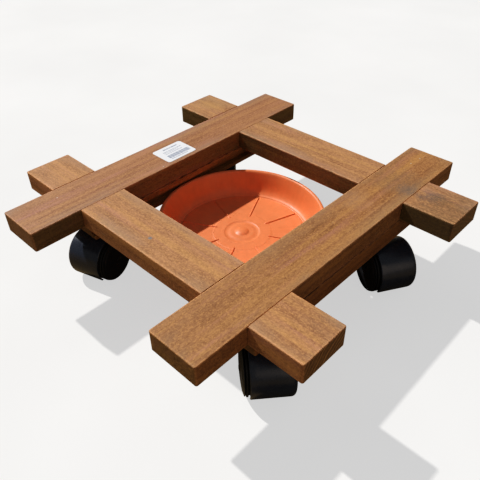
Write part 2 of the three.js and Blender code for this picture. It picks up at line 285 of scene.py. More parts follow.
# ------------------------------------------------------------------ node tools
class Nodes:
    """Builds a node tree by expressions: each method adds a node and returns its output."""

    def __init__(self, tree):
        self.tree = tree

    def put(self, socket, value):
        """Links a socket or sets its value; None leaves it as it is."""
        if isinstance(value, bpy.types.NodeSocket):
            self.tree.links.new(value, socket)
        elif value is not None:
            socket.default_value = tuple(value) + (1,) if socket.type == "RGBA" else value

    def node(self, kind, **props):
        node = self.tree.nodes.new(kind)
        for key, value in props.items():
            setattr(node, key, value)
        return node

    def math(self, operation, a, b=None, clamp=False):
        node = self.node("ShaderNodeMath", operation=operation, use_clamp=clamp)
        for socket, value in zip(node.inputs, (a, b)):
            self.put(socket, value)
        return node.outputs[0]

    def add(self, a, b, weight=None, clamp=False):
        """a + b, or a + b * weight."""
        if weight is not None:
            b = self.mul(b, weight)
        return self.math("ADD", a, b, clamp)

    def sub(self, a, b):
        return self.math("SUBTRACT", a, b)

    def mul(self, a, b):
        return self.math("MULTIPLY", a, b)

    def centred(self, value, spread):
        """Turns 0..1 into a swing of the given spread about zero."""
        return self.mul(self.sub(value, 0.5), spread)

    def hypot(self, a, b):
        return self.math("SQRT", self.add(self.mul(a, a), self.mul(b, b)))

    def vec(self, operation, a, b):
        node = self.node("ShaderNodeVectorMath", operation=operation)
        self.put(node.inputs[0], a)
        self.put(node.inputs[1], b)
        return node.outputs["Value" if operation == "DISTANCE" else 0]

    def split(self, vector):
        node = self.node("ShaderNodeSeparateXYZ")
        self.put(node.inputs[0], vector)
        return node.outputs

    def join(self, x, y, z):
        node = self.node("ShaderNodeCombineXYZ")
        for socket, value in zip(node.inputs, (x, y, z)):
            self.put(socket, value)
        return node.outputs[0]

    def coords(self):
        """Object coordinates in millimetres."""
        node = self.node("ShaderNodeVectorMath", operation="SCALE")
        self.put(node.inputs[0], self.node("ShaderNodeTexCoord").outputs["Object"])
        node.inputs["Scale"].default_value = 1000.0
        return node.outputs[0]

    def noise(self, vector, scale=1.0, detail=3.0, rough=0.6, stretch=None):
        if stretch is not None:
            vector = self.vec("MULTIPLY", vector, stretch)
        node = self.node("ShaderNodeTexNoise")
        self.put(node.inputs["Vector"], vector)
        node.inputs["Scale"].default_value = scale
        node.inputs["Detail"].default_value = detail
        node.inputs["Roughness"].default_value = rough
        return node.outputs["Fac"]

    def voronoi(self, vector, scale):
        node = self.node("ShaderNodeTexVoronoi")
        self.put(node.inputs["Vector"], vector)
        node.inputs["Scale"].default_value = scale
        return node.outputs

    def specks(self, vector, scale, size, chosen):
        """Dots of a size in some cells: both are (from, to) spans."""
        cell = self.voronoi(vector, scale)
        return self.mul(self.fit(cell["Distance"], span=size, to=(1, 0)),
                        self.fit(self.split(cell["Color"])[0], span=chosen))

    def ramp(self, factor, stops, mode="EASE"):
        """Colour ramp from (position, grey or colour) stops."""
        node = self.node("ShaderNodeValToRGB")
        node.color_ramp.interpolation = mode
        elements = node.color_ramp.elements
        while len(elements) < len(stops):
            elements.new(0.5)
        for element, (position, color) in zip(elements, stops):
            element.position = position
            element.color = (*color, 1) if hasattr(color, "__len__") else (color,) * 3 + (1,)
        self.put(node.inputs[0], factor)
        return node.outputs[0]

    def mix(self, factor, under, over, strength=None, blend="MIX"):
        if strength is not None:
            factor = self.mul(factor, strength)
        node = self.node("ShaderNodeMix", data_type="RGBA", blend_type=blend)
        self.put(node.inputs["Factor"], factor)
        sockets = [socket for socket in node.inputs if socket.type == "RGBA"]
        self.put(sockets[0], under)
        self.put(sockets[1], over)
        return [socket for socket in node.outputs if socket.type == "RGBA"][0]

    def mix_shader(self, factor, first, second):
        node = self.node("ShaderNodeMixShader")
        for socket, value in zip(node.inputs, (factor, first, second)):
            self.put(socket, value)
        return node.outputs[0]

    def camera_ray(self):
        return self.node("ShaderNodeLightPath").outputs["Is Camera Ray"]

    def fit(self, value, span, to=(0, 1)):
        """Maps a span onto another range, clamped."""
        node = self.node("ShaderNodeMapRange", clamp=True)
        self.put(node.inputs[0], value)
        for socket, limit in zip(list(node.inputs)[1:5], (*span, *to)):
            self.put(socket, limit)
        return node.outputs[0]

    def rounded_edges(self, radius):
        """Normal with the edges rounded by a radius in mm, or None for no radius."""
        if not radius:
            return None
        node = self.node("ShaderNodeBevel", samples=4)
        node.inputs["Radius"].default_value = radius * MM
        return node.outputs[0]

    def bump(self, height, strength, depth, normal=None):
        """Bumped normal; depth in mm."""
        node = self.node("ShaderNodeBump")
        node.inputs["Strength"].default_value = strength
        node.inputs["Distance"].default_value = depth * MM
        self.put(node.inputs["Height"], height)
        self.put(node.inputs["Normal"], normal)
        return node.outputs[0]


class Surface(Nodes):
    """Nodes of a new material around its Principled shader."""

    def __init__(self, name, roughness, specular):
        self.material = bpy.data.materials.new(name)
        self.material.use_nodes = True
        super().__init__(self.material.node_tree)
        self.bsdf = self.tree.nodes["Principled BSDF"]
        self.bsdf.inputs["Roughness"].default_value = roughness
        self.bsdf.inputs["Specular IOR Level"].default_value = specular

    def done(self, color, rough, normal, metallic=None):
        self.put(self.bsdf.inputs["Base Color"], color)
        self.put(self.bsdf.inputs["Roughness"], rough)
        self.put(self.bsdf.inputs["Normal"], normal)
        self.put(self.bsdf.inputs["Metallic"], metallic)
        return self.material


def tinted(color, factor, plus=0):
    """Colour times a factor, or one factor per channel, plus an amount."""
    factors = factor if isinstance(factor, tuple) else (factor,) * 3
    return tuple(min(1, c * f + plus) for c, f in zip(color, factors))


# ------------------------------------------------------------------------ wood
# light, dark: linear colours of the wood. pith: where the ring centre lies, (across, height)
# from the board's middle. ring: ring spacing. end_line: how strongly rings show on the ends.
# stains: (x, y, full within, gone beyond, colour, strength).
# The last field: painted shade on a face towards the opening, as (axis, whether at the high end of
# that axis, colour factors).
Timber = namedtuple("Timber", "light dark pith ring seed end_line stains shaded",
                    defaults=(0.35, (), None))
TIMBERS = {
    "long_rail_left": Timber(
        light=(0.405, 0.192, 0.096), dark=(0.160, 0.062, 0.024), pith=(-46, -78), ring=3.9,
        # painted shade on the inner side, facing the opening
        seed=3, shaded=(0, True, (0.58, 0.72, 0.60))),
    "long_rail_right": Timber(
        light=(0.400, 0.190, 0.078), dark=(0.140, 0.056, 0.018), pith=(60, -52), ring=4.4,
        seed=11,
        stains=((127, 104, 3, 13, (0.13, 0.12, 0.115), 0.75),
                (112, 112, 10, 34, (0.20, 0.125, 0.07), 0.6),
                (96, 60, 4, 20, (0.44, 0.25, 0.15), 0.35))),
    "cross_rail_front": Timber(
        light=(0.470, 0.226, 0.104), dark=(0.170, 0.070, 0.025), pith=(62, -54), ring=4.6,
        seed=7, end_line=1.0,
        stains=((-0.9, -115.2, 1.5, 2.2, (0.20, 0.19, 0.185), 0.9),
                (170, -96, 2, 26, (0.20, 0.13, 0.085), 0.35))),
    "cross_rail_back": Timber(
        light=(0.465, 0.230, 0.110), dark=(0.180, 0.077, 0.029), pith=(-30, -60), ring=4.2,
        # painted shade on the front face, towards the opening
        seed=19, shaded=(1, False, (0.42, 0.56, 0.46)),
        stains=((146, 109, 6, 18, (0.115, 0.105, 0.10), 0.75),
                (169, 99, 16, 38, (0.165, 0.105, 0.055), 0.72),
                (-160, 108, 6, 24, (0.50, 0.29, 0.12), 0.5))),
    "runner_left": Timber(
        light=(0.330, 0.145, 0.050), dark=(0.12, 0.042, 0.012), pith=(20, 45), ring=3.8,
        seed=23),
    "runner_right": Timber(
        light=(0.330, 0.145, 0.050), dark=(0.12, 0.042, 0.012), pith=(-34, 50), ring=4.0,
        seed=29),
}
LONG_RAILS = ("long_rail_left", "long_rail_right")
CROSS_RAILS = ("cross_rail_front", "cross_rail_back")
RAIL_LO, RAIL_HI = mm_box("long_rail_left")
SEAM_Z = (RAIL_LO[2] + mm_box("runner_left")[1][2]) / 2   # between long rails and runners
LAP_Z = (RAIL_LO[2] + RAIL_HI[2]) / 2                     # middle of the half-lap joints

# (scale along the grain, scale across it, detail, roughness) of each noise
GRAIN_NOISES = {
    "wander": (0.0055, 0.03, 2.0, 0.5),    # rings drift
    "jitter": (0.02, 0.12, 3.0, 0.6),      # rings wobble
    "fibre": (0.03, 1.5, 5.0, 0.62),
    "streak": (0.012, 0.42, 3.0, 0.55),
    "pores": (0.22, 4.2, 2.0, 0.5),
    "cloud": (0.010, 0.028, 4.0, 0.6),
    "blotch": (0.035, 0.06, 5.0, 0.65),
    "sand": (0.50, 0.62, 3.0, 0.75),       # pale grains
    "fleck": (0.34, 0.52, 4.0, 0.72),
    "band": (0.0035, 0.13, 3.0, 0.55),     # golden bands
    "red": (0.006, 0.10, 3.0, 0.6),        # reddish bands
    "ragged": (0.12, 0.5, 4.0, 0.7),       # breaks up the worn edges
}
# how far each noise swings the wood between light and dark
GRAIN_SWINGS = (("fibre", 0.50), ("streak", 0.55), ("fleck", 1.5), ("cloud", 1.02),
                ("blotch", 0.90))


def wood_grain(mat, timber, along, across, up):
    """Noises and growth rings of a board, shifted by its seed."""
    seed = timber.seed
    grain = SimpleNamespace()
    grain.base = mat.join(mat.add(along, seed * 311.7), mat.add(across, seed * 53.1),
                          mat.add(up, seed * 29.9))
    for name, (slow, quick, detail, rough) in GRAIN_NOISES.items():
        setattr(grain, name, mat.noise(grain.base, detail=detail, rough=rough,
                                       stretch=(slow, quick, quick)))
    wander = mat.centred(grain.wander, spread=26.0)
    jitter = mat.centred(grain.jitter, spread=3.2)
    radius = mat.hypot(mat.add(mat.sub(across, timber.pith[0]), wander),
                       mat.add(mat.sub(up, timber.pith[1]), wander, weight=0.6))
    grain.turns = mat.math("DIVIDE", mat.add(radius, jitter), timber.ring)
    rings = mat.ramp(mat.math("FRACT", grain.turns),
                     [(0.0, 0.12), (0.55, 0.5), (0.86, 0.95), (0.95, 1.0), (1.0, 0.15)])
    ring_tone = mat.node("ShaderNodeTexWhiteNoise", noise_dimensions="1D")
    mat.put(ring_tone.inputs["W"], mat.math("FLOOR", grain.turns))
    grain.ring_tone = ring_tone.outputs["Value"]
    grain.rings = mat.mul(rings, mat.fit(grain.ring_tone, span=(0, 1), to=(0.35, 1.0)))
    grain.pore = mat.ramp(grain.pores, [(0.0, 1.0), (0.33, 1.0), (0.42, 0.0), (1.0, 0.0)],
                          "LINEAR")
    return grain


def wood_color(mat, timber, grain, middle, red):
    """Colour of the long faces, before wear and dirt."""
    light, dark = timber.light, timber.dark
    darkness = mat.mul(grain.rings, 0.24)
    for name, swing in GRAIN_SWINGS:
        darkness = mat.add(darkness, mat.centred(getattr(grain, name), swing))
    darkness = mat.add(darkness, 0.30, clamp=True)
    color = mat.ramp(darkness, [(0.0, light), (0.45, middle), (1.0, dark)], "LINEAR")
    golden = mat.mul(mat.fit(grain.band, span=(0.48, 0.62), to=(0, 0.9)),
                     mat.fit(grain.fleck, span=(0.35, 0.6), to=(1, 0.35)))
    color = mat.mix(golden, color, tinted(light, (1.18, 1.22, 1.0)))
    reddish = mat.fit(grain.red, span=(0.52, 0.72), to=(0, red))
    color = mat.mix(reddish, color, tinted(light, (0.98, 0.92, 1.45)))
    color = mat.mix(grain.pore, color, tinted(dark, 0.5), strength=0.30)
    return mat.mix(mat.fit(grain.sand, span=(0.50, 0.64), to=(0, 0.65)), color,
                   tinted(light, (1.32, 1.34, 1.2)))


def wood_ends(mat, color, timber, grain, middle, end, ring_growth, end_dark):
    """Darkens the end grain, with stronger rings."""
    line = mat.ramp(mat.math("FRACT", grain.turns),
                    [(0.0, 1.0), (0.10, 1.0), (0.24, 0.0), (0.85, 0.0), (1.0, 1.0)])
    line = mat.mul(line, mat.fit(grain.ring_tone, span=(0.15, 0.6), to=(0.15, 1.0)))
    end_color = mat.mix(mat.fit(grain.fleck, span=(0.3, 0.7)), tinted(middle, 0.60),
                        tinted(timber.dark, 0.60))
    line = mat.mul(line, ring_growth)
    end_color = mat.mix(line, end_color, tinted(timber.light, 1.35), strength=timber.end_line)
    color = mat.mix(end, color, end_color, strength=end_dark)
    return mat.mix(end, color, (0.96, 1.09, 1.03), blend="MULTIPLY")


def wood_marks(mat, color, timber, grain, place, along, across, up):
    """Pale specks and scratches, then stains."""
    speck = mat.specks(mat.vec("MULTIPLY", grain.base, (0.055, 0.075, 0.075)), scale=1.0,
                       size=(0.028, 0.05), chosen=(0.74, 0.78))
    color = mat.mix(speck, color, (0.66, 0.6, 0.52), strength=0.75)
    slanted = mat.join(mat.add(along, across, weight=0.7), across, up)
    lines = mat.noise(slanted, detail=1.0, rough=0.5, stretch=(0.05, 1.9, 0.3))
    scratch = mat.mul(mat.fit(lines, span=(0.735, 0.76)), mat.fit(grain.cloud, span=(0.5, 0.6)))
    color = mat.mix(scratch, color, (0.55, 0.45, 0.34), strength=0.4)
    for x, y, full, gone, tint, strength in timber.stains:
        large = gone > 4
        distance = mat.vec("DISTANCE", mat.join(place[0], place[1], 0.0), (x, y, 0.0))
        distance = mat.add(distance, mat.centred(grain.blotch, gone * (2.0 if large else 0.5)))
        soak = 1.0
        if large:   # soaked in unevenly, along the fibres
            texture = mat.add(mat.mul(grain.fleck, 0.6), grain.fibre, weight=0.4)
            soak = mat.fit(texture, span=(0.40, 0.58), to=(0.30, 1.0))
        amount = mat.fit(distance, span=(full, gone), to=(strength, 0))
        color = mat.mix(amount, color, tint, strength=soak)
    return color


def wood(node, timber, axis, lo, hi):
    """Oiled hardwood for one board, with its grain along the axis (0 = X, 1 = Y)."""
    mat = Surface(node + "_wood", roughness=0.6, specular=0.35)
    light = timber.light
    middle = tuple(a * 0.55 + b * 0.45 for a, b in zip(light, timber.dark))
    place = mat.split(mat.coords())
    along = place[axis]
    across = mat.sub(place[1 - axis], (lo[1 - axis] + hi[1 - axis]) / 2)
    up = mat.sub(place[2], (lo[2] + hi[2]) / 2)
    grain = wood_grain(mat, timber, along, across, up)

    def depth(k):
        """Distance to the nearer of the two faces across axis k."""
        return mat.math("MINIMUM", mat.sub(place[k], lo[k]), mat.sub(hi[k], place[k]))

    color = wood_color(mat, timber, grain, middle, 0.75 if node in LONG_RAILS else 0.5)
    end = mat.fit(depth(axis), span=(0.15, 1.1), to=(1, 0))
    # the rings stand out most at the right or back end
    growth = mat.fit(along, span=(lo[axis] + 20, hi[axis] - 20), to=(0.45, 1.0))
    color = wood_ends(mat, color, timber, grain, middle, end, growth,
                      end_dark=0.70 if axis == 0 else 0.34)
    if timber.shaded is not None:   # painted shade on a face towards the opening, which the frame shades
        k, high_end, tint = timber.shaded
        inset = mat.sub(hi[k], place[k]) if high_end else mat.sub(place[k], lo[k])
        shade = mat.fit(inset, span=(0.25, 1.0), to=(1, 0))
        color = mat.mix(shade, color, tint, blend="MULTIPLY")
    if axis == 1:   # painted shade: a dark line along the seam where long rail and runner meet
        near = mat.math("ABSOLUTE", mat.sub(place[2], SEAM_Z))
        near = mat.add(near, mat.centred(grain.blotch, spread=0.9))
        color = mat.mix(mat.fit(near, span=(0.7, 1.7), to=(0.88, 0)), color,
                        (0.014, 0.006, 0.003))
    # distance to the nearest edge: the middle one of the three depths
    depths = [depth(k) for k in range(3)]
    small = mat.math("MINIMUM", depths[0], mat.math("MINIMUM", depths[1], depths[2]))
    large = mat.math("MAXIMUM", depths[0], mat.math("MAXIMUM", depths[1], depths[2]))
    total = mat.add(mat.add(depths[0], depths[1]), depths[2])
    edge = mat.sub(total, mat.add(small, large))
    # the top greys towards its outer edges, in patches
    upper = mat.fit(mat.sub(hi[2], place[2]), span=(0.4, 1.4), to=(1, 0))
    rim = mat.add(mat.math("MINIMUM", depths[0], depths[1]),
                  mat.centred(grain.blotch, spread=14.0))
    rim = mat.fit(rim, span=(0, 17.0), to=(1, 0))
    grey = mat.mul(mat.mul(rim, upper),
                   mat.fit(grain.cloud, span=(0.44, 0.60), to=(0.05, 0.62)))
    color = mat.mix(grey, color, tinted(light, (0.78, 1.02, 1.45)))
    # worn edges are paler and duller; the paler colour is partly a painted highlight along the
    # edges
    wear_and_edge_highlight = mat.mul(mat.fit(edge, span=(0.2, 1.9), to=(1, 0)),
                   mat.fit(grain.ragged, span=(0.36, 0.62), to=(0, 0.95)))
    color = mat.mix(wear_and_edge_highlight, color, tinted(light, 1.5, plus=0.02))
    color = wood_marks(mat, color, timber, grain, place, along, across, up)
    rough = mat.fit(mat.add(grain.fibre, grain.blotch, weight=0.6), span=(0.4, 1.2),
                    to=(0.44, 0.72))
    rough = mat.mix(wear_and_edge_highlight, mat.join(rough, rough, rough), (0.8, 0.8, 0.8))
    height = mat.add(mat.mul(grain.fibre, 0.55), grain.rings, weight=0.25)
    height = mat.sub(height, mat.mul(grain.pore, 0.5))
    height = mat.add(height, grain.sand, weight=0.12)
    return mat.done(color, rough, mat.bump(height, strength=0.55, depth=0.28))


def ticks(start, end, margin, step, count):
    """Grid lines between two faces: count finer ones in the margin at each, even steps between."""
    ease = margin * (1 - np.cos(np.linspace(0, np.pi / 2, count + 1)))
    inner = max(2, int(round((end - start - 2 * margin) / step)))
    between = np.linspace(start + margin, end - margin, inner + 1)[1:-1]
    return np.concatenate([start + ease, between, (end - ease)[::-1]])


def board(lo, hi, seed, edge_r, corner_r, step, wave=0.12):
    """A sawn and eased board as a quad grid.

    The plan corners are rounded by corner_r, the edges worn unevenly by about edge_r, and the
    faces wave inwards by up to wave.
    """
    lines = [ticks(lo[0], hi[0], corner_r, step[0], 6),
             ticks(lo[1], hi[1], corner_r, step[1], 6),
             ticks(lo[2], hi[2], edge_r * 1.3, step[2], 5)]
    last_x, last_y, last_z = (len(line) - 1 for line in lines)
    ids, faces = {}, []

    def quad(*corners):
        faces.append(tuple(ids.setdefault(corner, len(ids)) for corner in corners))

    for i in range(last_x):
        for j in range(last_y):
            top = last_z
            quad((i, j, 0), (i, j + 1, 0), (i + 1, j + 1, 0), (i + 1, j, 0))
            quad((i, j, top), (i + 1, j, top), (i + 1, j + 1, top), (i, j + 1, top))
    for i in range(last_x):
        for k in range(last_z):
            far = last_y
            quad((i, 0, k), (i + 1, 0, k), (i + 1, 0, k + 1), (i, 0, k + 1))
            quad((i, far, k), (i, far, k + 1), (i + 1, far, k + 1), (i + 1, far, k))
    for j in range(last_y):
        for k in range(last_z):
            far = last_x
            quad((0, j, k), (0, j, k + 1), (0, j + 1, k + 1), (0, j + 1, k))
            quad((far, j, k), (far, j + 1, k), (far, j + 1, k + 1), (far, j, k + 1))
    points = np.array([(lines[0][i], lines[1][j], lines[2][k]) for i, j, k in ids])
    x, y, z = points.T
    inset = np.minimum.reduce([x - lo[0], hi[0] - x, y - lo[1], hi[1] - y])
    depth = np.minimum(z - lo[2], hi[2] - z)
    # rounded plan corners
    core = np.clip(points[:, :2], lo[:2] + corner_r, hi[:2] - corner_r)
    offset = points[:, :2] - core
    length = np.linalg.norm(offset, axis=1)
    outward = np.divide(offset, length[:, None], out=np.zeros_like(offset),
                        where=length[:, None] > 1e-9)
    plan = core + outward * np.abs(offset).max(1)[:, None]
    # edge rounding, its size wandering along the edge
    radius = edge_r * (0.62 + 0.85 * lattice_noise(points / 23.0, seed, octaves=3))
    side = np.clip(radius - inset, 0, None)
    drop = np.clip(radius - depth, 0, None)
    scale = np.maximum(side, drop) / np.maximum(np.hypot(side, drop), 1e-9)
    plan = plan - outward * (side - side * scale)[:, None]
    facing = np.where(z > (lo[2] + hi[2]) / 2, 1.0, -1.0)
    z = z - facing * (drop - drop * scale)
    sink = (lattice_noise(points / np.array([60.0, 60.0, 30.0]), seed + 5, octaves=2) - 1) * wave
    return np.column_stack([plan + outward * sink[:, None],
                            z + facing * sink * (depth < 0.01)]), faces


LAP_GAP = 0.3            # beside a crossing rail
LAP_HALF_OVERCUT = 0.15  # beyond the lap plane
REBATE_Z = (63.5, 72.0)
REBATE_DEPTH = 6.5       # into the runner from its inner side


def lap_cuts(axis, lo, hi):
    """Half-lap notches: below the middle in long rails, above it in cross rails."""
    cuts = []
    for other in CROSS_RAILS if axis == 1 else LONG_RAILS:
        other_lo, other_hi = mm_box(other)
        cut_lo, cut_hi = lo - 20, hi + 20
        cut_lo[axis] = other_lo[axis] - LAP_GAP
        cut_hi[axis] = other_hi[axis] + LAP_GAP
        if axis == 1:
            cut_hi[2] = LAP_Z + LAP_HALF_OVERCUT
        else:
            cut_lo[2] = LAP_Z - LAP_HALF_OVERCUT
        cuts.append((cut_lo, cut_hi))
    return cuts


def rebate_cuts(lo, hi):
    """Rebate along the side of a runner that faces the middle."""
    side = 1 if lo[0] > 0 else -1
    inner = lo[0] if side > 0 else hi[0]
    x0, x1 = sorted((inner - side * 4, inner + side * REBATE_DEPTH))
    return [((x0, lo[1] - 9, REBATE_Z[0]), (x1, hi[1] + 9, REBATE_Z[1]))]


for node, timber in TIMBERS.items():
    lo, hi = mm_box(node)
    axis = 0 if node in CROSS_RAILS else 1
    material = wood(node, timber, axis, lo, hi)
    if node.startswith("runner"):
        cuts, edge_r, corner_r = rebate_cuts(lo, hi), 0.8, 1.5
    else:
        cuts, edge_r, corner_r = lap_cuts(axis, lo, hi), 0.95, 1.9
    step = [4.0, 4.0, 3.5]
    step[axis] = 2.5
    ob = new_object(node + "_wood", *board(lo, hi, timber.seed, edge_r, corner_r, step))
    fix_normals(ob)
    for cut in cuts:
        boolean(ob, block(*cut))
    finish(ob, "frame", material, node, angle=40)

# ---------------------------------------------------------------------- saucer
SAUCER_DEPTH = 25.0      # rim top above the floor of the dish
FLOOR_STEP = 0.2         # the outer floor lies this much lower
# (radius, height above the dish floor), from the middle out to the foot of the rim
DISH_TOP = [
    (0, 2.0), (1.8, 1.97), (3.6, 1.75), (5.2, 1.3), (6.4, 0.7), (7.2, 0.22), (7.9, 0.03),
    (8.6, 0), (11.2, 0), (12.2, -0.06), (13.2, -0.22), (14.2, -0.45), (15.2, -0.60),
    (16.2, -0.66), (17.2, -0.60), (18.0, -0.42), (18.6, -0.18), (19.0, -0.02), (19.5, 0.04),
    (20.4, 0), (23, 0), (26, 0),
    *((r, 0) for r in np.arange(27.4, 30.6, 0.3)),
    (30.8, -0.02), (31.1, -0.14), (31.4, -0.18), (31.8, -FLOOR_STEP),
    *((r, -FLOOR_STEP) for r in (34, 38, 42, 46, 50, 54, 58, 61, 63)),
    *((r, -FLOOR_STEP) for r in np.arange(64, 66.2, 0.3)),
    (66.4, -FLOOR_STEP), (66.8, -0.32), (67.2, -0.68), (67.6, -0.88), (68.2, -0.92),
    (68.6, -0.8), (69.0, -0.35), (69.35, 0.12), (69.7, 0.36), (70.1, 0.45),
    # concave cove up to the rim
    (70.5, 0.6), (71.6, 1.45), (72.8, 2.65), (73.9, 4.1), (74.9, 5.8), (75.8, 7.75),
    (76.7, 10.1), (77.5, 12.5), (78.3, 15.0), (79.2, 17.6), (80.1, 19.9),
]
# (radius, height from the rim top), over the rim and back under its lip
RIM = [
    (80.8, -3.3), (81.4, -1.9), (81.85, -1.1), (82.4, -0.5), (83.1, -0.12), (83.8, 0),
    (84.5, 0), (85.1, -0.18), (85.6, -0.6), (85.9, -1.15), (86.0, -1.8), (86.0, -3.7),
    (85.9, -4.05), (85.6, -4.2), (85.1, -4.2), (84.85, -4.0), (84.75, -3.2), (84.5, -2.6),
    (84.0, -2.4), (82.9, -2.45), (82.3, -2.9), (81.8, -4.4),
]
# (radius, height above the dish floor), down the outside and in to the middle
DISH_UNDER = [
    (80.9, 16.2), (79.9, 13.2), (78.7, 10.0), (77.2, 6.4), (75.5, 3.4), (73.6, 0.9),
    (72.2, -0.5), (70.6, -1.4), (68.6, -2.05), (67.4, -2.2), (62.2, -2.2), (61.4, -2.0),
    (60.6, -1.65), (60.0, -1.6), (30, -1.6), (0, -1.6),
]
SAUCER_R = 86.0
RIB_ANGLES = [math.radians(k * 45 + 27) for k in range(8)]
RIB_SPAN = (28.7, 65.3)  # radii where the ribs start and end
RIB_HALF_WIDTH = 1.02
RIB_FLANK = 0.55
RIB_HEIGHT = 0.78        # above the inner floor


def saucer_angles():
    """Lathe angles, dense at the ribs."""
    near = np.concatenate([np.arange(-2.7, -1.9, 0.3), np.arange(-1.8, 1.801, 0.15),
                           np.arange(2.1, 2.8, 0.3)])
    angles = []
    for rib in RIB_ANGLES:
        angles += list(rib + np.radians(near)) + list(rib + np.radians(np.linspace(3.4, 41.6, 22)))
    return np.unique(np.round(np.mod(angles, 2 * np.pi), 6))


def saucer_mesh(centre, rim_z):
    floor_z = rim_z - SAUCER_DEPTH
    profile = [(r, base + h)
               for base, line in ((floor_z, DISH_TOP), (rim_z, RIM), (floor_z, DISH_UNDER))
               for r, h in line]
    points, faces = lathe(profile, saucer_angles())
    # ribs stand up from the floor
    x, y = points[:, 0], points[:, 1]
    radius = np.hypot(x, y)
    on_floor = (points[:, 2] > floor_z - 0.6) & (radius > 26) & (radius < 67.5)
    distance = np.full(len(points), 1e3)
    for rib in RIB_ANGLES:
        out = x * math.cos(rib) + y * math.sin(rib)
        aside = -x * math.sin(rib) + y * math.cos(rib)
        beyond = np.maximum(np.maximum(RIB_SPAN[0] - out, out - RIB_SPAN[1]), 0)
        distance = np.minimum(distance, np.hypot(beyond, aside))
    rise = np.clip((RIB_HALF_WIDTH - distance) / RIB_FLANK, 0, 1)
    height = RIB_HEIGHT + (radius > 31.2) * FLOOR_STEP
    points[:, 2] += np.where(on_floor, height * rise * rise * (3 - 2 * rise), 0)
    # a moulded part is never quite true
    warp = lattice_noise(np.column_stack([x, y]) / 48.0, 41, octaves=2) - 0.5
    points[:, 2] += 0.10 * warp * (radius / SAUCER_R)
    points[:, 2] = np.minimum(points[:, 2], rim_z)
    points[:, :2] += centre
    return points, faces


# ---------------------------------------------------------- plastics and metals
def plastic(name, base, rough, spec, dust, dust_color, bumps, scale=1.0, scratch=0.5,
            vary=0.16, coat=0.0, edge_radius=0.0, mould_centre=None):
    """Used plastic: uneven tone (vary), specks, dust and scratches.

    A mould centre adds radial flow marks and fine turning rings about it.
    """
    mat = Surface(name, rough, spec)
    place = mat.coords()
    cloud = mat.noise(place, scale=0.018 * scale, detail=4.0)
    medium = mat.noise(place, scale=0.11 * scale, detail=4.0)
    fine = mat.noise(place, scale=1.7)
    grit = mat.noise(place, scale=5.5, detail=2.0)
    tone = mat.add(mat.centred(cloud, spread=1.6), mat.centred(medium, spread=0.8))
    tone = mat.add(tone, mat.centred(fine, spread=0.35))
    tone = mat.add(tone, 0.5, clamp=True)
    color = mat.mix(tone, tinted(base, 1 - vary), tinted(base, 1 + vary))
    speck = mat.specks(place, scale=0.55, size=(0.06, 0.12), chosen=(0.86, 0.9))
    color = mat.mix(speck, color, tinted(base, 1.5, plus=0.04), strength=0.35)
    height = mat.add(mat.mul(grit, 0.5), fine, weight=0.6)
    if mould_centre is not None:
        x, y, _ = mat.split(mat.vec("SUBTRACT", place, mould_centre))
        radius = mat.hypot(x, y)
        angle = mat.math("ARCTAN2", y, x)
        flow = mat.noise(mat.join(mat.mul(angle, 9.0), mat.mul(radius, 0.02), 0.0), detail=4.0)
        color = mat.mix(mat.fit(flow, span=(0.35, 0.7), to=(0, 0.35)), color, tinted(base, 0.82))
        turning = mat.noise(mat.join(mat.mul(radius, 2.6), mat.mul(angle, 0.6), 0.0),
                            detail=2.0, rough=0.5)
        height = mat.add(height, turning, weight=0.5)
    patch = mat.noise(mat.vec("ADD", place, (31.0, 7.0, 3.0)), scale=0.045, detail=5.0,
                      rough=0.68)
    color = mat.mix(mat.fit(patch, span=(0.5, 0.72)), color, dust_color, strength=dust)
    gloss = mat.fit(mat.add(medium, fine, weight=0.5), span=(0.45, 1.05),
                    to=(rough - 0.09, rough + 0.14))
    # scratches run along X and along Y
    along_x = mat.noise(place, detail=1.0, rough=0.5, stretch=(0.05, 2.2, 0.6))
    along_y = mat.noise(place, detail=1.0, rough=0.5, stretch=(2.1, 0.06, 0.5))
    marks = mat.math("MAXIMUM", mat.fit(along_x, span=(0.72, 0.75)),
                     mat.fit(along_y, span=(0.73, 0.76)))
    gloss = mat.add(gloss, marks, weight=0.18 * scratch, clamp=True)
    color = mat.mix(marks, color, tinted(base, 1.4, plus=0.03), strength=0.22 * scratch)
    normal = mat.bump(height, bumps, depth=0.1, normal=mat.rounded_edges(edge_radius))
    mat.bsdf.inputs["Coat Weight"].default_value = coat
    mat.bsdf.inputs["Coat Roughness"].default_value = 0.22
    return mat.done(color, gloss, normal)


def metal(name, base, rough, rust, scale=1.0, edge_radius=0.0):
    """Brushed and spangled metal with rust spots."""
    mat = Surface(name, rough, specular=0.5)
    place = mat.coords()
    cloud = mat.noise(place, scale=0.09 * scale, detail=5.0, rough=0.65)
    fine = mat.noise(place, scale=1.4, detail=4.0)
    brushed = mat.noise(place, stretch=(0.25, 5.0, 0.6))
    spangle = mat.voronoi(place, scale=0.34)["Color"]
    color = mat.mix(mat.split(spangle)[0], base, tinted(base, 0.66), strength=0.22)
    color = mat.mix(mat.fit(brushed, span=(0.3, 0.7), to=(0, 0.25)), color, tinted(base, 1.25))
    spots = mat.mul(mat.fit(mat.add(cloud, fine, weight=0.4), span=(0.78, 0.95)), rust)
    color = mat.mix(spots, color, (0.19, 0.075, 0.028))
    gloss = mat.fit(mat.add(cloud, brushed, weight=0.5), span=(0.4, 1.1),
                    to=(rough - 0.06, rough + 0.2))
    gloss = mat.add(gloss, spots, weight=0.4, clamp=True)
    metallic = mat.math("SUBTRACT", 1.0, mat.mul(spots, 0.85), clamp=True)
    normal = mat.bump(mat.add(brushed, fine, weight=0.6), strength=0.16, depth=0.06,
                      normal=mat.rounded_edges(edge_radius))
    return mat.done(color, gloss, normal, metallic)


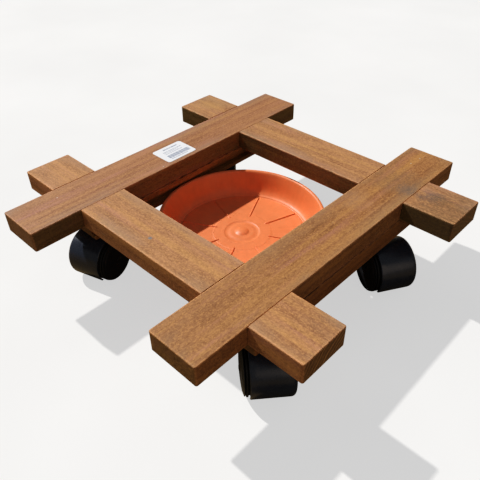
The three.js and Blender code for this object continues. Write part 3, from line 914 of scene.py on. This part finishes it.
lo, hi = mm_box("saucer")
middle = (lo + hi) / 2
shape = saucer_mesh(middle[:2], hi[2])
TERRACOTTA = plastic("terracotta_plastic", (0.81, 0.225, 0.088), rough=0.42, spec=0.45,
                     scale=1.3, dust=0.16, dust_color=(0.70, 0.30, 0.15), scratch=0.7,
                     mould_centre=(middle[0], middle[1], 0), bumps=0.3, vary=0.12)
piece("saucer_dish", shape, "saucer", TERRACOTTA, "saucer", angle=60)

# the blue in the hood's base colour is a painted sky reflection; the plastic itself is near black
HOOD = plastic("hood_plastic", (0.033, 0.041, 0.063), rough=0.26, spec=0.5, dust=0.10,
               dust_color=(0.10, 0.095, 0.09), scratch=0.8, coat=0.35, bumps=0.22, vary=0.25,
               edge_radius=0.35)
WHEEL = plastic("wheel_plastic", (0.0095, 0.0095, 0.0105), rough=0.55, spec=0.4, dust=0.22,
                dust_color=(0.075, 0.068, 0.06), scratch=1.0, bumps=0.4, vary=0.3)
CAP = plastic("cap_plastic", (0.017, 0.0175, 0.021), rough=0.40, spec=0.45, dust=0.10,
              dust_color=(0.075, 0.07, 0.065), scratch=0.8, bumps=0.25, vary=0.25)
BUSH = plastic("bush_plastic", (0.42, 0.41, 0.38), rough=0.5, spec=0.4, dust=0.25,
               dust_color=(0.2, 0.18, 0.15), bumps=0.2)
PLATE = metal("plate_steel", (0.50, 0.505, 0.52), rough=0.34, rust=0.30, edge_radius=0.25)
PIN = metal("pin_steel", (0.10, 0.10, 0.105), rough=0.38, rust=0.12)
FRAME_SCREW = metal("screw_zinc", (0.66, 0.62, 0.50), rough=0.30, rust=0.25, scale=2.0,
                    edge_radius=0.12)
PLATE_SCREW = metal("plate_screw_zinc", (0.62, 0.60, 0.54), rough=0.30, rust=0.22, scale=2.0,
                    edge_radius=0.12)

# --------------------------------------------------------------------- casters
# Caster frame: the origin is on the floor below the swivel axis, +x trails towards the wheel
# centre, +y runs along the axle to the open side and z is up.
WHEEL_R = 24.5
TRAIL = 25.0             # wheel centre behind the swivel axis
AXLE_AT = (TRAIL, 0, WHEEL_R)
CLOSED_Y = -24.0         # outside of the hood's closed end
HOOD_WALL = 3.5
INNER_Y = CLOSED_Y + HOOD_WALL
OPEN_Y = 15.0            # the hood's open end
HOOD_R = 26.8
HOOD_ROUND = 4.5         # rounding of the closed end
CAVITY_R = 25.4
KINGPIN_R = 4.0
AXLE_R = 2.0
BORE_PLAY = 0.12
SKIRT_Z = 5.0            # lower edge of the hood

# (radius, place along the axle)
HOOD_PROFILE = [
    (0, CLOSED_Y), (9, CLOSED_Y), (16, CLOSED_Y + 0.02),
    *arc(HOOD_R - HOOD_ROUND, CLOSED_Y + HOOD_ROUND, HOOD_ROUND, -90, 0, 13),
    (HOOD_R, -10), (HOOD_R, 0), (HOOD_R, 9), (HOOD_R, OPEN_Y - 0.9), (HOOD_R - 0.1, OPEN_Y - 0.5),
    (HOOD_R - 0.3, OPEN_Y - 0.2), (HOOD_R - 0.55, OPEN_Y), (0, OPEN_Y),
]
CAVITY_PROFILE = [
    (CAVITY_R - 1.2, INNER_Y), (CAVITY_R - 0.5, INNER_Y + 0.2), (CAVITY_R - 0.1, INNER_Y + 0.7),
    (CAVITY_R, INNER_Y + 1.4), (CAVITY_R, OPEN_Y + 20),
]
WHEEL_PROFILE = [
    (2.15, INNER_Y + 0.6), (6.5, INNER_Y + 0.6), (7.0, INNER_Y + 1.2), (20.6, INNER_Y + 1.2),
    (21.2, INNER_Y + 0.6), (22.9, INNER_Y + 0.6), (23.5, INNER_Y + 0.72), (24.05, INNER_Y + 1.0),
    (24.4, INNER_Y + 1.5), (WHEEL_R, INNER_Y + 2.1), (WHEEL_R, -8), (WHEEL_R, 0), (WHEEL_R, 8),
    (WHEEL_R, 13.9), (24.42, 14.2), (24.2, 14.4), (23.3, 14.62), (23.05, 14.8), (23.0, 15.1),
    (23.0, 15.7), (23.1, 15.95), (24.1, 16.2), (24.4, 16.4), (WHEEL_R, 16.8), (WHEEL_R, 17.4),
    (24.4, 17.75), (24.1, 18.0), (23.6, 18.05), (12.6, 18.05), (12.4, 17.9), (12.4, 13),
    (2.15, 13),
]
CAP_PROFILE = [
    (2.25, 13.3), (11.7, 13.3), (12.0, 13.6), (12.0, 18.35), (12.3, 18.7), (23.0, 18.7),
    (23.4, 18.75), (23.7, 19.0), (23.8, 19.35), (23.65, 19.65), (23.2, 19.85), (22.2, 20.15),
    (21.4, 20.42), (21.15, 20.42), (20.9, 20.22), (20.6, 20.2), (20.3, 20.38), (20.0, 20.72),
    (19.2, 20.98), (17.0, 21.28), (14.5, 21.55), (12.0, 21.78), (9.5, 21.94), (7.0, 22.0),
    (5.6, 22.0), (5.2, 21.86), (4.9, 21.6), (3.1, 21.55), (2.6, 21.6), (2.25, 21.6),
]
AXLE_PROFILE = [
    (0, INNER_Y - 2.5), (1.7, INNER_Y - 2.5), (AXLE_R, INNER_Y - 2.2), (AXLE_R, 21.75),
    (2.55, 21.8), (2.8, 21.92), (2.8, 22.15), (2.6, 22.35), (2.1, 22.5), (1.3, 22.58), (0, 22.6),
]
# (radius, height)
COLLAR_PROFILE = [(7.6, 32), (8.4, 32.3), (8.85, 33), (9, 33.8), (9, 52.7), (8.8, 53.2),
                  (8.4, 53.45), (8.0, 53.5)]
KINGPIN_PROFILE = [(0, 40.4), (2.6, 40.4), (3.3, 40.5), (3.75, 40.8), (KINGPIN_R, 41.3),
                   (KINGPIN_R, 57.1), (5.75, 57.1), (6.0, 57.3), (6.0, 57.75), (5.8, 57.95),
                   (0, 57.95)]
BUSH_PROFILE = [(4.2, 53.8), (8.3, 53.8), (8.75, 53.95), (9.0, 54.25), (9.0, 55.4),
                (8.85, 55.7), (8.5, 55.8), (4.2, 55.8)]


def on_axle(profile, sides):
    points, faces = lathe(profile, full_turn(sides))
    return points[:, [0, 2, 1]] + AXLE_AT, faces


def hood_shape():
    """Drum with a swivel collar, cut away below and hollowed for the wheel."""
    hood = new_object("hood", *on_axle(HOOD_PROFILE, 144))
    fix_normals(hood)
    boolean(hood, turned_solid(COLLAR_PROFILE, 64, 0.013), "UNION")
    slice_off(hood, (0, 0, SKIRT_Z), (0, 0, -1))
    # the lower edge turns up at the open end in two flats: (inset, height, degrees)
    for inset, height, degrees in ((7.0, SKIRT_Z, 22.0), (2.6, 6.7, 50.0)):
        turn = math.radians(degrees)
        slice_off(hood, (0, OPEN_Y - inset, height), (0, math.sin(turn), -math.cos(turn)))
    # and slopes up towards the swivel axis
    slope = math.atan2(25, 44)
    slice_off(hood, (18, 0, 17.5), (-math.sin(slope), 0, -math.cos(slope)))
    boolean(hood, turned_solid(CAVITY_PROFILE, 144, 0.007, True, AXLE_AT))
    bore_r = KINGPIN_R + BORE_PLAY
    boolean(hood, turned_solid([(bore_r, 30), (bore_r, 60)], 48, 0.031))
    hole_r = AXLE_R + BORE_PLAY
    hole = [(hole_r, INNER_Y - 2.8), (hole_r, INNER_Y + 4)]
    boolean(hood, turned_solid(hole, 32, 0.017, True, AXLE_AT))
    return take_data(hood)


def caster_frame(corner):
    """Axes (as columns) and origin of a caster, turned as the CAD has it."""
    stem = np.array(JOINTS["swivel_" + corner]["pos_m"]) * 1000
    hub = np.array(JOINTS["spin_" + corner]["pos_m"]) * 1000
    trail = np.array([hub[0] - stem[0], hub[1] - stem[1], 0.0])
    trail /= np.linalg.norm(trail)
    left = np.array([-trail[1], trail[0], 0.0])
    lo, hi = mm_box("hub_cap_" + corner)
    side = 1.0 if np.dot((lo + hi) / 2 - hub, left) > 0 else -1.0
    return np.column_stack([trail, side * left, (0, 0, 1)]), np.array([stem[0], stem[1], 0])


def placed(shape, axes, origin):
    """Shape moved into a caster's place; a mirrored frame turns the faces over."""
    points, faces = shape
    if np.linalg.det(axes) < 0:
        faces = [tuple(reversed(face)) for face in faces]
    return points @ axes.T + origin, faces


# (name, shape, body, slot, material, CAD piece, hard edge angle)
CASTER_PARTS = (
    ("hood_", hood_shape(), "caster_", "hood_plastic", HOOD, "caster_hood_", 30),
    ("axle_pin_", on_axle(AXLE_PROFILE, 40), "caster_", "pin_steel", PIN, "axle_", 35),
    ("tread_", on_axle(WHEEL_PROFILE, 128), "roller_", "wheel_plastic", WHEEL, "wheel_", 35),
    ("cap_", on_axle(CAP_PROFILE, 128), "roller_", "cap_plastic", CAP, "hub_cap_", 35),
)
FRAMES = {corner: caster_frame(corner) for corner in CORNERS}
for corner, (axes, origin) in FRAMES.items():
    for name, shape, body, slot, material, node, angle in CASTER_PARTS:
        piece(name + corner, placed(shape, axes, origin), body + corner, material,
              node + corner, angle)


# ------------------------------------------------- screws, plates, pins, bushes
def screw_shape(node, head_r, head_height, shank_r, tip, cross, head_edge=0.0):
    """Countersunk wood screw standing on its head, as tall as a CAD piece.

    tip is the length of the point, cross the (half length, half width, depth) of the recess.
    """
    lo, hi = mm_box(node)
    head_z, tip_z = lo[2], hi[2] - tip
    profile = [(head_r - 0.35, head_z), (head_r - 0.08, head_z + 0.1),
               (head_r, head_z + 0.25 + head_edge), (shank_r, head_z + head_height)]
    z = head_z + head_height + 2.2
    while z < tip_z - 1.0:
        profile += [(shank_r * 0.78, z), (shank_r, z + 0.5), (shank_r * 0.78, z + 1.0)]
        z += 1.5
    profile += [(shank_r * 0.74, tip_z), (0.12, hi[2])]
    screw = turned_solid(profile, 32, 0.05)
    long, short, deep = cross
    for x, y in ((long, short), (short, long)):
        boolean(screw, block((-x, -y, head_z - 1), (x, y, head_z + deep)))
    return take_data(screw)


def set_screw(node, shape, angle, material):
    """Turns a screw about its axis and sets it at the middle of its CAD piece."""
    points, faces = shape
    lo, hi = mm_box(node)
    x, y, _ = (lo + hi) / 2
    cosine, sine = math.cos(angle), math.sin(angle)
    turned = np.column_stack([points[:, 0] * cosine - points[:, 1] * sine + x,
                              points[:, 0] * sine + points[:, 1] * cosine + y, points[:, 2]])
    piece(node + "_zinc", (turned, faces), "frame", material, node, angle=30)


FRAME_SCREW_SHAPES = {
    kind: screw_shape(kind + "front_left", head_r=3.9, head_height=2.2, shank_r=2.1, tip=4,
                      cross=(1.9, 0.42, 1.5), head_edge=0.15)
    for kind in ("crossing_screw_", "runner_screw_")}
for k, corner in enumerate(CORNERS):
    for kind, shape in FRAME_SCREW_SHAPES.items():
        set_screw(kind + corner, shape, 0.5 + 1.3 * k, FRAME_SCREW)

PLATE_HALF = 19.0
PLATE_CORNER_R = 4.0
PLATE_HOLE_AT = 14       # screw holes from the middle, in x and y
# (radius, height) of the stepped hole for the kingpin and its head
KINGPIN_HOLE = [(4.25, 50), (4.25, 56.9), (6.35, 56.9), (6.35, 60)]


def plate_shape():
    """Square plate with rounded corners, a kingpin hole and four countersunk holes."""
    lo, hi = mm_box("caster_plate_front_left")
    z0, z1 = lo[2], hi[2]
    outline = rounded_outline(0, 0, PLATE_HALF, PLATE_HALF, PLATE_CORNER_R, 10)
    n = len(outline)
    points = [(x, y, z) for z in (z0, z1) for x, y in outline]
    faces = [tuple(reversed(range(n))), tuple(range(n, 2 * n))]
    faces += [(i, (i + 1) % n, n + (i + 1) % n, n + i) for i in range(n)]
    plate = new_object("plate", points, faces)
    fix_normals(plate)
    boolean(plate, turned_solid(KINGPIN_HOLE, 40, 0.01))
    countersink = [(4.0, z0 - 1), (4.0, z0 - 0.2), (1.95, z1 + 0.15), (1.95, z1 + 1)]
    for x in (-PLATE_HOLE_AT, PLATE_HOLE_AT):
        for y in (-PLATE_HOLE_AT, PLATE_HOLE_AT):
            boolean(plate, turned_solid(countersink, 40, 0.02, at=(x, y, 0)))
    return take_data(plate)


plate_screw = screw_shape("plate_screw_front_left_1", head_r=3.3, head_height=1.75, shank_r=1.6,
                          tip=2.5, cross=(1.6, 0.36, 1.3))
# (name, shape, slot, material, CAD piece, hard edge angle)
SWIVEL_PARTS = (
    ("plate_", plate_shape(), "plate_steel", PLATE, "caster_plate_", 30),
    ("pin_", lathe(KINGPIN_PROFILE, full_turn(48)), "pin_steel", PIN, "kingpin_", 35),
    ("bush_", lathe(BUSH_PROFILE, full_turn(64)), "bush_plastic", BUSH, "swivel_bush_", 35),
)
for k, corner in enumerate(CORNERS):
    origin = FRAMES[corner][1]
    for name, (points, faces), slot, material, node, angle in SWIVEL_PARTS:
        piece(name + corner, (points + origin, faces), "frame", material, node + corner,
              angle)
    for i in range(1, 5):
        set_screw(f"plate_screw_{corner}_{i}", plate_screw, 0.4 + 1.7 * i + k,
                  PLATE_SCREW)

# ----------------------------------------------------------------------- label
LABEL_CORNER_R = 3.0
# (x from, x to, y from, y to) from the label's low corner
LABEL_BARS = [(4.0, 6.0, 11.8, 31.8), (9.1, 10.1, 8.2, 33.6), (11.5, 12.3, 8.0, 28.0),
              (13.8, 14.7, 8.0, 31.0), (25.2, 26.4, 7.0, 30.0)]
LABEL_STRIPES = (17.4, 23.8, 7.0, 36.4)


def label_mesh(lo, hi):
    """Gently wrinkled sheet: nested rings on top, one flat face below."""
    centre_x, centre_y = (lo[0] + hi[0]) / 2, (lo[1] + hi[1]) / 2
    rings = [rounded_outline(centre_x, centre_y, (hi[0] - lo[0]) / 2 * size,
                             (hi[1] - lo[1]) / 2 * size, LABEL_CORNER_R * size, 12)
             for size in (1.0, 0.985, 0.9, 0.75, 0.55, 0.3)]
    n = len(rings[0])
    points, faces = [], []
    for ring in rings:
        for x, y in ring:
            wrinkle = lattice_noise([[x / 9.0, y / 9.0]], 77, octaves=2)[0]
            points.append((x, y, hi[2] - 0.06 * wrinkle - 0.02))
    for k in range(len(rings) - 1):
        for i in range(n):
            j = (i + 1) % n
            faces.append((k * n + i, k * n + j, (k + 1) * n + j, (k + 1) * n + i))
    centre = len(points)
    points.append((centre_x, centre_y, hi[2] - 0.05))
    last = (len(rings) - 1) * n
    faces += [(last + i, last + (i + 1) % n, centre) for i in range(n)]
    under = len(points)
    points += [(x, y, lo[2]) for x, y in rings[0]]
    faces += [(i, under + i, under + (i + 1) % n, (i + 1) % n) for i in range(n)]
    faces.append(tuple(reversed(range(under, under + n))))
    return points, faces


def label_paper(lo):
    """White paper with plain printed bars: no letters, no figures."""
    mat = Surface("label_paper", roughness=0.5, specular=0.35)
    place = mat.coords()
    x, y, _ = mat.split(place)
    x = mat.sub(x, lo[0])
    y = mat.sub(y, lo[1])

    def between(value, start, end):
        return mat.mul(mat.math("GREATER_THAN", value, start), mat.math("LESS_THAN", value, end))

    def rect(x0, x1, y0, y1):
        return mat.mul(between(x, x0, x1), between(y, y0, y1))

    ink = rect(*LABEL_BARS[0])
    for bar in LABEL_BARS[1:]:
        ink = mat.math("MAXIMUM", ink, rect(*bar))
    dashes = mat.noise(mat.join(mat.mul(y, 0.95), mat.mul(x, 0.35), 0.0), detail=2.0, rough=0.7)
    ink = mat.mul(ink, mat.fit(dashes, span=(0.42, 0.5), to=(0.25, 1.0)))
    stripes = mat.noise(mat.join(mat.mul(y, 0.7), 0.0, 4.0), detail=2.0, rough=0.8)
    stripes = mat.fit(stripes, span=(0.44, 0.52), to=(0.35, 1.0))
    ink = mat.math("MAXIMUM", ink, mat.mul(stripes, rect(*LABEL_STRIPES)))
    smudge = mat.noise(place, scale=0.6, detail=4.0)
    fibre = mat.noise(place, scale=3.2)
    paper = mat.mix(mat.fit(smudge, span=(0.4, 0.75), to=(0, 0.35)), (0.80, 0.82, 0.86),
                    (0.66, 0.67, 0.70))
    paper = mat.mix(mat.fit(fibre, span=(0.3, 0.7), to=(0, 0.15)), paper, (0.86, 0.87, 0.9))
    color = mat.mix(ink, paper, (0.22, 0.26, 0.36),
                    strength=mat.fit(fibre, span=(0.25, 0.6), to=(0.6, 0.95)))
    rough = mat.fit(fibre, span=(0.3, 0.7), to=(0.38, 0.58))
    height = mat.add(fibre, smudge, weight=1.2)
    return mat.done(color, rough, mat.bump(height, strength=0.2, depth=0.1))


lo, hi = mm_box("blank_label")
piece("label_sheet", label_mesh(lo, hi), "frame", label_paper(lo), "blank_label",
      angle=60)

# ------------------------------------------------------------------------ room
FLOOR_HALF = 3000
FLOOR_GLOW = 0.62        # share of its own light that the camera sees


def floor_paint():
    """Glows for the camera as a light table, and throws little light back up on the object."""
    mat = Surface("floor_paint", roughness=0.75, specular=0.15)
    place = mat.coords()
    tone = mat.noise(place, scale=0.004, rough=0.5)
    fine = mat.noise(place, scale=0.4)
    color = mat.mix(mat.fit(tone, span=(0.3, 0.7)), (0.80, 0.80, 0.79), (0.84, 0.84, 0.83))
    mat.done(color, mat.fit(fine, span=(0.3, 0.7), to=(0.68, 0.85)),
             mat.bump(fine, strength=0.05, depth=0.2))
    glow = mat.node("ShaderNodeEmission")
    mat.put(glow.inputs["Color"], mat.mix(mat.fit(tone, span=(0.3, 0.7)), (0.90, 0.90, 0.90),
                                          (0.94, 0.94, 0.94)))
    matt = mat.node("ShaderNodeBsdfDiffuse")
    mat.put(matt.inputs["Color"], (0.222, 0.165, 0.088))
    seen = mat.mix_shader(FLOOR_GLOW, mat.bsdf.outputs[0], glow.outputs[0])
    shown = mat.mix_shader(mat.camera_ray(), matt.outputs[0], seen)
    mat.put(mat.tree.nodes["Material Output"].inputs["Surface"], shown)
    return mat.material


material = floor_paint()
floor = new_object("floor", [(-FLOOR_HALF, -FLOOR_HALF, 0), (FLOOR_HALF, -FLOOR_HALF, 0),
                             (FLOOR_HALF, FLOOR_HALF, 0), (-FLOOR_HALF, FLOOR_HALF, 0)],
                   [(0, 1, 2, 3)], smooth=False)
dress(floor, material)
floor.location.z = -0.0002   # just below the wheels


def build_world():
    """Soft light, cooler from above; the camera sees plain light grey."""
    world = bpy.data.worlds.new("studio")
    SCENE.world = world
    world.use_nodes = True
    sky = Nodes(world.node_tree)
    light = sky.tree.nodes["Background"]
    height = sky.split(sky.node("ShaderNodeTexCoord").outputs["Generated"])["Z"]
    sky.put(light.inputs["Color"], sky.ramp(
        height, [(0.0, (0.80, 0.80, 0.80)), (0.6, (0.92, 0.95, 1.0))], "LINEAR"))
    light.inputs["Strength"].default_value = 0.20
    seen = sky.node("ShaderNodeBackground")
    sky.put(seen.inputs["Color"], (0.93, 0.93, 0.93))
    sky.put(sky.tree.nodes["World Output"].inputs["Surface"],
            sky.mix_shader(sky.camera_ray(), light.outputs[0], seen.outputs[0]))


def sun(name, towards, energy, spread, color):
    """Sun lamp in the direction given; spread is its angular size in degrees."""
    light = bpy.data.lights.new(name, "SUN")
    light.energy = energy
    light.angle = math.radians(spread)
    light.color = color
    ob = bpy.data.objects.new(name, light)
    ob.rotation_euler = Vector(towards).to_track_quat("Z", "Y").to_euler()
    SCENE.collection.objects.link(ob)


build_world()
sun("key", towards=(-0.90, -0.10, 1.0), energy=3.9, spread=1.4, color=(1.0, 0.97, 0.93))
sun("fill", towards=(0.85, -0.25, 0.35), energy=0.20, spread=40.0, color=(1.0, 0.80, 0.62))

# ---------------------------------------------------------------------- camera
AZIMUTH = math.radians(44.3231)      # from the front, round to the right
ELEVATION = math.radians(38.3931)
ROLL = math.radians(-0.89925)
CAMERA_PIVOT = Vector((0, 0, 100))
# from the pivot, in the camera's own axes
CAMERA_BACK, CAMERA_RIGHT, CAMERA_UP = 537.0902, -1.4997, -53.8120


def build_camera():
    back = Vector((math.sin(AZIMUTH) * math.cos(ELEVATION),
                   -math.cos(AZIMUTH) * math.cos(ELEVATION), math.sin(ELEVATION)))
    level = Vector((math.cos(AZIMUTH), math.sin(AZIMUTH), 0))
    upright = back.cross(level)
    right = level * math.cos(ROLL) + upright * math.sin(ROLL)
    up = -level * math.sin(ROLL) + upright * math.cos(ROLL)
    place = (back * CAMERA_BACK + right * CAMERA_RIGHT + up * CAMERA_UP + CAMERA_PIVOT) * MM
    data = bpy.data.cameras.new("camera")
    data.sensor_width = 36
    data.lens = 40.496775
    data.clip_start = 0.01
    data.clip_end = 20
    camera = bpy.data.objects.new("camera", data)
    SCENE.collection.objects.link(camera)
    camera.matrix_world = Matrix([(right[k], up[k], back[k], place[k]) for k in range(3)]
                                 + [(0, 0, 0, 1)])
    SCENE.camera = camera


build_camera()

# the combined tone curve deepens the darkest tones
SCENE.view_settings.view_transform = "Standard"
SCENE.view_settings.use_curve_mapping = True
tone_map = SCENE.view_settings.curve_mapping
for level_in, level_out in ((0.03, 0.0165), (0.10, 0.080), (0.30, 0.30)):
    tone_map.curves[3].points.new(level_in, level_out)
tone_map.update()
